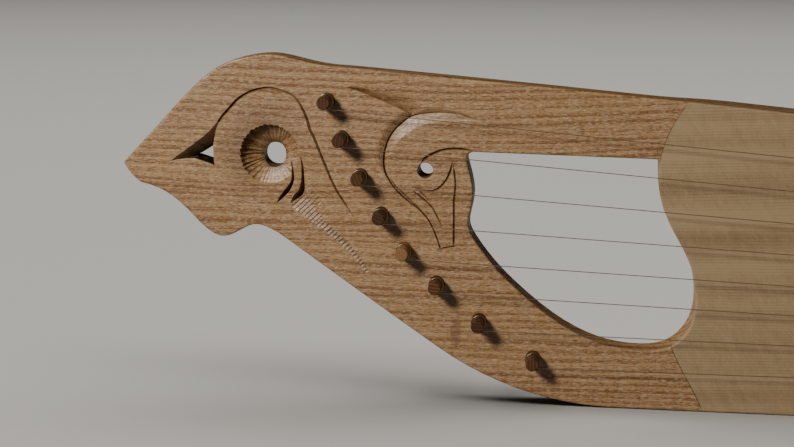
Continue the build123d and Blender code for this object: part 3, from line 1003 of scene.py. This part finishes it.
def walnut(name, centre, degrees, tint, stripes=0.75):
    """Dark wood with pale lines, turned about the centre, which show as stripes on a peg's end."""
    t = Tree(name)
    t.turned(centre, (0, degrees, 0))
    across = t.total(t.axis(0), t.noise((3, 20, 7), seed=degrees, detail=1, swing=0.5))
    ring = t.math("FRACT", t.math("MULTIPLY_ADD", across, 1 / 2.1, 0.35))
    line = t.ramp(ring, [(0, 0), (0.5, 0.05), (0.8, 1), (1, 0.1)])
    pores = t.ramp(t.noise((0.5, 5, 0.5), seed=3, detail=1), [(0.1, 0), (0.5, 1)])
    cloud = t.noise((4, 30, 4), seed=4, swing=0.15)
    bright = t.ramp(t.total(t.times(line, stripes), t.times(pores, -0.35), cloud))
    pale = [min(255, 1.6 * c + 8) for c in tint]
    t.surface({"Base Color": t.mix(bright, srgb(*tint), srgb(*pale))})
    t.surface({"Roughness": 0.5, "Specular IOR Level": 0.3})
    t.bump(t.times(pores, -1), 0.05)
    return t.material


def steel(name, grey, roughness):
    """Bright drawn wire or rod."""
    t = Tree(name)
    worn = t.total(t.noise((8, 8, 8), seed=1, swing=0.06), roughness)
    t.surface({"Base Color": srgb(*grey), "Metallic": 1, "Roughness": worn})
    return t.material


def painted(name, colour):
    """A matt surface of nearly one colour."""
    t = Tree(name)
    cloud = t.ramp(t.noise((900, 900, 900), seed=2))
    shade = srgb(*[c - 3 for c in colour])
    t.surface({"Base Color": t.mix(cloud, srgb(*colour), shade), "Roughness": 0.9})
    return t.material


# ---- pegs, wire and strings ----
def helix(name, centre, radius, ends, start):
    """Round wire wound about a peg's axis, from the first depth to the second."""
    data = bpy.data.curves.new(name, "CURVE")
    data.dimensions = "3D"
    data.bevel_depth = wire_radius * MM
    data.bevel_resolution = 2
    spline = data.splines.new("POLY")
    count = coil_turns * coil_steps
    spline.points.add(count)
    for index, point in enumerate(spline.points):
        share = index / count
        angle = 2 * math.pi * coil_turns * share + start
        x = centre[0] + radius * math.cos(angle)
        y = ends[0] + (ends[1] - ends[0]) * share
        z = centre[1] + radius * math.sin(angle)
        point.co = (x * MM, y * MM, z * MM, 1)
    return add_object(name, data)


def wire_coil(number, material):
    """The string's end, wound on its peg in a close helix."""
    lo, hi = (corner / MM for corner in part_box(f"winding_{number}"))
    centre = ((lo.x + hi.x) / 2, (lo.z + hi.z) / 2)
    radius = (hi.x - lo.x) / 2 - wire_radius
    ends = (hi.y - wire_radius, lo.y + wire_radius)
    coil = helix(f"coil_{number}", centre, radius, ends, start=number)
    bpy.context.view_layer.update()
    mesh = bpy.data.meshes.new_from_object(coil)
    bpy.data.objects.remove(coil)
    piece = add_object(f"wire_coil_{number}", mesh)
    mesh.materials.clear()
    mesh.materials.append(material)
    mesh.polygons.foreach_set("use_smooth", [True] * len(mesh.polygons))
    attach(piece, f"peg_body_{number}")
    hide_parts(f"winding_{number}")


def finish_node(name, material):
    """A CAD node that is shown as it is, with its own material."""
    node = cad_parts[name]
    node.data.materials.clear()
    node.data.materials.append(material)


def pegs_and_strings():
    """The pegs, each from its own piece of wood and one of them pale, with the wire on them."""
    wire = steel("string_wire", (150, 136, 114), 0.32)
    grain_turns = [4, -6, 24, 68, 40, 86, 92, 2]  # degrees
    tints = [(66, 38, 16), (62, 35, 15), (68, 41, 19), (56, 33, 15), (138, 100, 64)]
    tints += [(78, 48, 23), (58, 33, 15), (72, 44, 21)]
    pale_peg, pale_stripes, dark_stripes = 5, 0.1, 0.75
    for number, (x, z) in enumerate(peg_places(), 1):
        centre = ((x + beak_x) * MM, 0, z * MM)
        stripes = pale_stripes if number == pale_peg else dark_stripes
        wood = walnut(f"walnut_{number}", centre, grain_turns[number - 1], tints[number - 1], stripes)
        finish_node(f"peg_{number}", wood)
        finish_node(f"string_{number}", wire)
        wire_coil(number, wire)


def body_and_board():
    """The two carved meshes, in the places of the CAD's body and soundboard."""
    body, plate = wooden_parts()
    pieces = ((body, "body", ash(), "ash"), (plate, "soundboard", spruce(), "spruce"))
    for piece, node, material, slot_name in pieces:
        piece.data.materials.append(material)
        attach(piece, "frame")
        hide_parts(node)


def braces_and_tail():
    """The braces inside, and the posts and the rod at the tail."""
    inner = spruce("spruce_inner", (196, 160, 112))
    for name in ("brace_1", "brace_2", "brace_3"):
        finish_node(name, inner)
    post = walnut("post_wood", (0.193, 0, 0.08), 90, (92, 58, 38))
    for name in ("rod_post_lower", "rod_post_upper"):
        finish_node(name, post)
    finish_node("string_rod", steel("steel_rod", (150, 148, 145), 0.32))


# ---- the set: camera, lights and floor ----
def camera():
    """The photo's own view, worked out from the board's edges, its holes and the pegs."""
    data = bpy.data.cameras.new("camera")
    data.lens = 79.98
    data.sensor_width = 36.0
    data.clip_start = 0.05
    data.clip_end = 30
    obj = add_object("camera", data)
    place = (-0.23305, -1.087, 0.3053)
    forward = Vector((-0.10866, 0.97831, -0.17634)).normalized()
    right = Vector((0.99357, 0.11258, 0.01235)).normalized()
    turn = Matrix((right, right.cross(forward), -forward)).transposed().to_4x4()
    obj.matrix_world = Matrix.Translation(place) @ turn
    bpy.context.scene.camera = obj


def area_light(name, toward, distance, target, size, power, colour):
    """A soft square light in that direction from its target, and turned to it."""
    data = bpy.data.lights.new(name, "AREA")
    data.shape = "SQUARE"
    data.size = size
    data.energy = power
    data.color = colour
    obj = add_object(name, data)
    way = Vector(toward).normalized()
    obj.location = Vector(target) + way * distance
    obj.rotation_euler = way.to_track_quat("Z", "Y").to_euler()
    return obj


def link_light(light, obj, state):
    """INCLUDE lights this object alone, EXCLUDE leaves it out, like a flag that shades it."""
    group = bpy.data.collections.new(f"{light.name}_link")
    group.objects.link(obj)
    group.collection_objects[0].light_linking.link_state = state
    light.light_linking.receiver_collection = group


def floor_plane():
    half = 30
    mesh = bpy.data.meshes.new("floor")
    corners = [(-half, -half, 0), (half, -half, 0), (half, half, 0), (-half, half, 0)]
    mesh.from_pydata(corners, [], [(0, 1, 2, 3)])
    mesh.materials.append(painted("floor", (172, 170, 166)))
    floor = add_object("floor", mesh)
    floor.visible_diffuse = False  # keeps its own light from filling the shadows in the carving
    return floor


def studio():
    """A soft key from the upper left, a weak light from behind, and one over the pale floor for it alone."""
    warm, white = (1, 0.96, 0.9), (1, 0.98, 0.95)
    key = area_light("key", (-0.39, -0.78, 0.485), 1.7, (-0.44, 0, 0.15), size=0.34, power=29, colour=warm)
    sky = area_light("sky", (0, 0, 1), 5, (0, 0.4, 0), size=7, power=520, colour=white)
    back = area_light("back_light", (-0.75, 0.65, 0.1), 2.2, (-0.1, 0, 0.1), size=1.2, power=26, colour=white)
    back.visible_glossy = False
    world = bpy.data.worlds.new("studio")
    world.use_nodes = True
    background = world.node_tree.nodes["Background"].inputs
    background["Color"].default_value = (0.9, 0.94, 1, 1)
    background["Strength"].default_value = 0.022
    bpy.context.scene.world = world
    floor = floor_plane()
    link_light(key, floor, "EXCLUDE")
    link_light(back, floor, "EXCLUDE")
    link_light(sky, floor, "INCLUDE")


camera()
body_and_board()
braces_and_tail()
pegs_and_strings()
studio()
